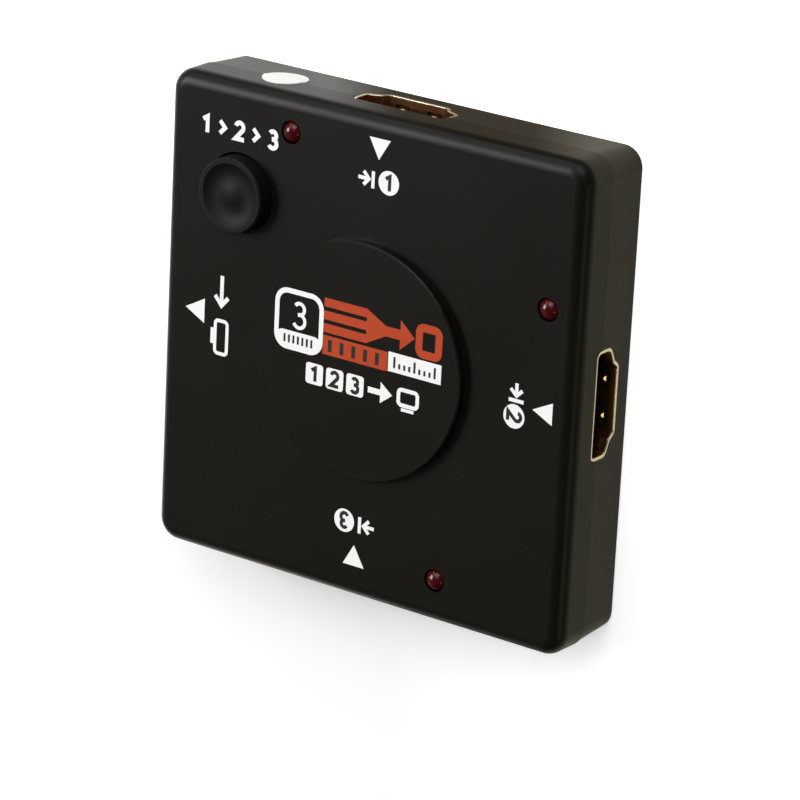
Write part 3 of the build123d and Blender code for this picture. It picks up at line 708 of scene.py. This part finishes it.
# %% Button row and output mark
row_digit, row_weight, arrow_weight = 2.35, 0.62, 0.6
button_row = [
    moved(digit(number, row_digit, row_weight, face_level), 0, x, 0)
    for number, x in ((1, -5.5), (2, 0.0), (3, 5.5))
]
chevron = stroke([(-0.5, 0.85), (0.35, 0.0), (-0.5, -0.85)], arrow_weight, face_level)
button_row += [moved(chevron, 0, x, 0) for x in (-2.75, 2.75)]
button_row = moved(merge(*button_row), 0, -21.35, 26.7)
make_piece("select_marks", *button_row, white_print, "white_print")
screen = merge(
    stroke(rounded_box((0.7, -0.8), (5.3, 1.2), 0.5), mark_weight, face_level, closed=True),
    stroke([(1.9, -1.3), (4.1, -1.3)], mark_weight, face_level),
    stroke([(-5.6, 0.1), (-1.9, 0.1)], arrow_weight, face_level),
    stroke([(-2.7, 1.2), (-1.45, 0.1), (-2.7, -1.0)], arrow_weight, face_level + OVERLAP),
)
make_piece("output_marks", *moved(screen, -90, -23.4, 0.8), white_print, "white_print")
output_triangle = slab([(-29.3, 0.83), (-26.1, -0.83), (-26.1, 2.6)], face_level)
make_piece("output_triangle", *output_triangle, white_print, "white_print")
print("button row", np.ptp(button_row[0][:, 0]).round(1), "mm wide")
print("output mark", np.ptp(screen[0][:, 0]).round(1), "mm long")

# %% [markdown]
# ## Prints on the round boss
# The boss carries a badge with the number of inputs, a broad orange diagram of three
# lines that join into one, a notched orange band, a white band with a scale and a row of
# plain marks. They repeat the weights and colours of such a face without any lettering.

# %% Badge with the number of inputs
BADGE_RISE = 0.003
frame_weight, badge_digit, tick_weight = 0.7, 3.5, 0.32
badge = merge(
    stroke(
        rounded_box((-13.0, -0.25), (-5.75, 7.45), 1.7), frame_weight, boss_level, closed=True
    ),
    slab(rounded_box((-12.9, -0.2), (-5.85, 2.0), 0.9), boss_level + BADGE_RISE),
    moved(digit(3, badge_digit, mark_weight, boss_level), 0, -9.3, 4.4),
)
make_piece("badge_marks", *badge, white_print, "white_print")
ticks = [
    stroke([(x, 0.35), (x, 1.45)], tick_weight, boss_level + INK + BADGE_RISE)
    for x in np.linspace(-11.6, -7.2, 7)
]
make_piece("badge_ticks", *merge(*ticks), black_print, "black_case")
print("badge with", len(ticks), "ticks at", round(boss_level, 3), "mm")

# %% Orange diagram of three lines joining into one
diagram_left, lane_right, lane_half = -5.36, 1.6, 0.6
trunk_low, trunk_high = 4.75, 6.15
socket_weight = 1.1
lanes = (7.2, 5.45, 3.7)
diagram = [
    slab(rectangle((diagram_left, y - lane_half), (lane_right, y + lane_half)), boss_level)
    for y in lanes
]
funnel = [(1.5, 3.1), (4.6, trunk_low), (4.6, trunk_high), (1.5, 7.8)]
diagram += [
    slab(funnel, boss_level + OVERLAP),
    slab(rectangle((4.5, trunk_low), (7.2, trunk_high)), boss_level),
    slab([(6.9, 3.4), (9.2, 5.45), (6.9, 7.5)], boss_level + OVERLAP),
    stroke(rounded_box((9.9, 3.65), (13.0, 7.25), 0.7), socket_weight, boss_level, closed=True),
    slab(rectangle((diagram_left, 0.07), (5.05, 2.7)), boss_level),
]
make_piece("orange_diagram", *merge(*diagram), orange_print, "orange_print")
print("orange diagram of", len(diagram), "shapes")

# %% White band with a scale, and numbered squares
keys = (-6.5, -3.2, 0.1)
key_low, key_middle, key_high = -4.5, -3.05, -1.6
key_half, key_radius = 1.4, 0.45
shaft_weight, screen_weight, foot_weight = 0.8, 0.55, 0.45
white_parts = [slab(rectangle((5.2, 0.2), (13.6, 2.85)), boss_level)]
white_parts += [
    slab(rounded_box((x - key_half, key_low), (x + key_half, key_high), key_radius), boss_level)
    for x in keys
]
white_parts += [
    stroke([(2.2, key_middle), (4.6, key_middle)], shaft_weight, boss_level),
    slab([(4.2, key_low), (6.1, key_middle), (4.2, key_high)], boss_level + OVERLAP),
    stroke(
        rounded_box((7.1, -3.95), (10.1, -1.85), 0.5), screen_weight, boss_level, closed=True
    ),
    stroke([(7.6, -4.55), (9.6, -4.55)], foot_weight, boss_level),
]
make_piece("boss_white_marks", *merge(*white_parts), white_print, "white_print")
print("white band and", len(keys), "squares, of", len(white_parts), "shapes")

# %% Notches, scale and digits in black
on_ink = boss_level + INK
notch_weight, key_digit = 0.6, 2.0
short_tick, long_tick, ticks_per_step = 1.5, 2.3, 4
dark = [
    stroke([(x, 0.55), (x, 2.2)], notch_weight, on_ink) for x in (-4.2, -2.3, -0.4, 1.5, 3.4)
]
dark += [
    stroke([(x, 0.8), (x, short_tick if k % ticks_per_step else long_tick)], tick_weight, on_ink)
    for k, x in enumerate(np.linspace(6.2, 12.6, 9))
]
dark += [
    moved(digit(number, key_digit, mark_weight, on_ink), 0, x, key_middle)
    for number, x in enumerate(keys, start=1)
]
make_piece("boss_dark_marks", *merge(*dark), black_print, "black_case")
print("boss prints at", round(boss_level, 3), "mm,", len(dark), "dark marks")

# %% [markdown]
# ## Floor
# The box lies on a plain white sheet. The sheet is part of the stage and not of the box.

# %% White sheet
FLOOR_HALF = 3.0
FLOOR_DROP = 0.00002


def sheet_surface(name, half, count=9):
    """A square sheet as a grid of points, from minus half to half both ways."""
    side = np.linspace(-half, half, count)
    x, y = np.meshgrid(side, side)
    points = np.c_[x.ravel(), y.ravel(), np.zeros(x.size)]
    index = np.arange(x.size).reshape(x.shape)
    quads = np.stack(
        [index[:-1, :-1], index[:-1, 1:], index[1:, 1:], index[1:, :-1]], axis=-1
    ).reshape(-1, 4)
    mesh = bpy.data.meshes.new(name)
    mesh.from_pydata(points.tolist(), [], quads.tolist())
    return bpy.data.objects.new(name, mesh)


floor = sheet_surface("floor", FLOOR_HALF)
floor.location.z = -FLOOR_DROP
bpy.context.scene.collection.objects.link(floor)
print("floor half a side", FLOOR_HALF, "m")

# %% [markdown]
# ## Painted reflections: what gloss and metal see of the floor
# Polished gold shows its surroundings more than its own colour, and the plating in these
# sockets looks dark and brown, partly through the painted shade in its own colour. So glossy
# rays see the sheet painted in bands across the box. These are painted reflections in the
# gold and in the box's glossy sides: pale on the left, darker along the middle, paler under
# the right side and dark beyond it. Behind the box all of them fade to a tenth, a painted
# dark reflection. Every other ray meets an even pale grey.
# Behind the box all of them fade to a tenth. Every other ray meets an even pale grey.

# %% Painted reflection bands of the sheet
paper, paper_tree, paper_surface = new_material(
    "floor_sheet", Roughness=1.0, Specular_IOR_Level=0.0
)
floor_ray = add_node(paper_tree, "ShaderNodeLightPath")
floor_at = add_node(paper_tree, "ShaderNodeTexCoord")
across = add_node(paper_tree, "ShaderNodeSeparateXYZ")
span = add_node(paper_tree, "ShaderNodeMapRange", From_Min=-0.1, From_Max=0.1)
bands = add_node(paper_tree, "ShaderNodeValToRGB")
stops = bands.color_ramp.elements
stops[0].position, stops[0].color = 0.42, (1.0, 0.98, 0.95, 1)
stops[1].position, stops[1].color = 0.82, (0.12, 0.10, 0.08, 1)
for position, colour in ((0.47, (0.25, 0.215, 0.155)), (0.58, (0.25, 0.215, 0.155)),
                         (0.63, (0.70, 0.66, 0.54)), (0.72, (0.73, 0.70, 0.50))):
    stops.new(position).color = (*colour, 1)
# Beyond the far side of the box the painted reflection fades to a tenth: a painted dark
# reflection.
painted_dark_behind = add_node(
    paper_tree, "ShaderNodeMapRange", From_Min=0.042, From_Max=0.056, To_Min=1.0, To_Max=0.1
)
painted_reflection_tone = add_node(paper_tree, "ShaderNodeVectorMath", operation="SCALE")
# Glossy rays get the painted reflection tone; other rays get the sheet's even grey.
sheet_and_reflection_colour = colour_mix(paper_tree, (0.8, 0.8, 0.8))
join(
    paper_tree,
    ((floor_at, "Object"), (across, "Vector")), ((across, "X"), (span, "Value")),
    ((span, "Result"), (bands, "Fac")), ((across, "Y"), (painted_dark_behind, "Value")),
    ((bands, "Color"), (painted_reflection_tone, 0)), ((painted_dark_behind, "Result"), (painted_reflection_tone, "Scale")),
    ((floor_ray, "Is Glossy Ray"), (sheet_and_reflection_colour, FACTOR)),
    ((painted_reflection_tone, "Vector"), (sheet_and_reflection_colour, SECOND)),
    ((sheet_and_reflection_colour, MIXED), (paper_surface, "Base Color")),
)
print("sheet bands", len(stops), "stops")

# %% [markdown]
# ## White of the floor
# A lit white sheet renders pale grey, so it gives out a little light of its own, which
# the camera sees directly or through a lens. It is weaker around a place beside the near
# left corner of the box, so that the shadow stays. Glossy rays get a quarter of full
# strength, in the tones of the painted reflection bands, which adds to those painted
# reflections.

# %% Glow of the sheet
NUMBER_FIRST, NUMBER_SECOND, NUMBER_MIXED = 2, 3, 0
painted_reflection_glow = 0.25
shadow_middle = (-0.03, -0.06, 0.0)
away = add_node(paper_tree, "ShaderNodeVectorMath", operation="DISTANCE")
away.inputs[1].default_value = shadow_middle
far = add_node(
    paper_tree, "ShaderNodeMapRange", From_Min=0.03, From_Max=0.13, To_Min=0.27, To_Max=1.0
)
seen = add_node(paper_tree, "ShaderNodeMath", operation="MAXIMUM")
glow = add_node(paper_tree, "ShaderNodeMath", operation="MULTIPLY")
strength = add_node(paper_tree, "ShaderNodeMix", data_type="FLOAT")
strength.inputs[NUMBER_SECOND].default_value = painted_reflection_glow
# White for the camera; for glossy rays, the tones of the painted reflection bands.
glow_and_reflection_colour = colour_mix(paper_tree, (1.0, 1.0, 1.0))
white = add_node(paper_tree, "ShaderNodeEmission")
total = add_node(paper_tree, "ShaderNodeAddShader")
join(
    paper_tree,
    ((floor_at, "Object"), (away, 0)), ((away, "Value"), (far, "Value")),
    ((floor_ray, "Is Camera Ray"), (seen, 0)), ((floor_ray, "Is Transmission Ray"), (seen, 1)),
    ((seen, "Value"), (glow, 0)), ((far, "Result"), (glow, 1)),
    ((floor_ray, "Is Glossy Ray"), (strength, FACTOR)),
    ((glow, "Value"), (strength, NUMBER_FIRST)),
    ((floor_ray, "Is Glossy Ray"), (glow_and_reflection_colour, FACTOR)),
    ((painted_reflection_tone, "Vector"), (glow_and_reflection_colour, SECOND)),
    ((strength, NUMBER_MIXED), (white, "Strength")), ((glow_and_reflection_colour, MIXED), (white, "Color")),
    ((paper_surface, "BSDF"), (total, 0)), ((white, "Emission"), (total, 1)),
    ((total, "Shader"), (paper_tree.nodes["Material Output"], "Surface")),
)
floor.data.materials.append(paper)
print("floor material", paper.name, "with", len(paper_tree.nodes), "nodes")

# %% [markdown]
# ## Lamps
# One soft lamp stands high behind the box and a little to its right, so the shadow falls
# to the near side. Gloss doesn't see that one. The others are there for their
# reflections: a softbox far behind the box lights the rims of the button and the boss, a
# smaller one on the left gives each lens its highlight, a dim strip draws the line on the
# far rounded edge, and two small glints reach the gold in the sockets.

# %% Lamps
def soft_lamp(name, place, size, power, colour=(1, 1, 1)):
    """Square area lamp at place, in metres, that faces the origin."""
    data = bpy.data.lights.new(name, "AREA")
    data.shape, data.size, data.energy, data.color = "SQUARE", size, power, colour
    lamp = bpy.data.objects.new(name, data)
    lamp.location = place
    lamp.rotation_mode = "QUATERNION"
    lamp.rotation_quaternion = Vector(place).to_track_quat("Z", "Y")
    bpy.context.scene.collection.objects.link(lamp)
    return lamp


key = soft_lamp("key_lamp", (0.30, 0.50, 0.75), 0.6, 3.3)
key.visible_glossy = False
soft_lamp("softbox", (0.12, 0.84, 0.50), 0.75, 2.9)
soft_lamp("lens_glint", (-0.67, 0.24, 0.68), 0.50, 6.0)
soft_lamp("edge_strip", (-0.54, 0.66, 0.53), 0.30, 0.42)
soft_lamp("far_rim_glint", (-0.54, 0.82, 0.19), 0.12, 0.46, (1.0, 0.92, 0.84))
soft_lamp("near_rim_glint", (0.86, -0.33, 0.40), 0.17, 0.36, (1.0, 0.94, 0.82))

# %% [markdown]
# ## World
# The camera sees white all round. Glossy rays see a dark room with one paler wall low on
# the left, which black plastic mirrors softly. Every other ray meets an even dim grey.

# %% World
world = bpy.data.worlds.new("studio")
bpy.context.scene.world = world
world.use_nodes = True
sky = world.node_tree
wall_direction = (-0.72, -0.50, 0.48)
sky_ray = add_node(sky, "ShaderNodeLightPath")
direction = add_node(sky, "ShaderNodeTexCoord")
toward = add_node(sky, "ShaderNodeVectorMath", operation="DOT_PRODUCT")
toward.inputs[1].default_value = wall_direction
wall = add_node(sky, "ShaderNodeMapRange", From_Min=0.78, From_Max=0.95)
room = colour_mix(sky, (0.03, 0.028, 0.025), (0.17, 0.155, 0.13))
unseen = colour_mix(sky, (0.18, 0.18, 0.18))
backdrop = colour_mix(sky, second=(1.0, 1.0, 1.0))
join(
    sky,
    ((direction, "Generated"), (toward, 0)), ((toward, "Value"), (wall, "Value")),
    ((wall, "Result"), (room, FACTOR)), ((room, MIXED), (unseen, SECOND)),
    ((sky_ray, "Is Glossy Ray"), (unseen, FACTOR)), ((unseen, MIXED), (backdrop, FIRST)),
    ((sky_ray, "Is Camera Ray"), (backdrop, FACTOR)),
    ((backdrop, MIXED), (sky.nodes["Background"], "Color")),
)
print("world", world.name, "with", len(sky.nodes), "nodes")
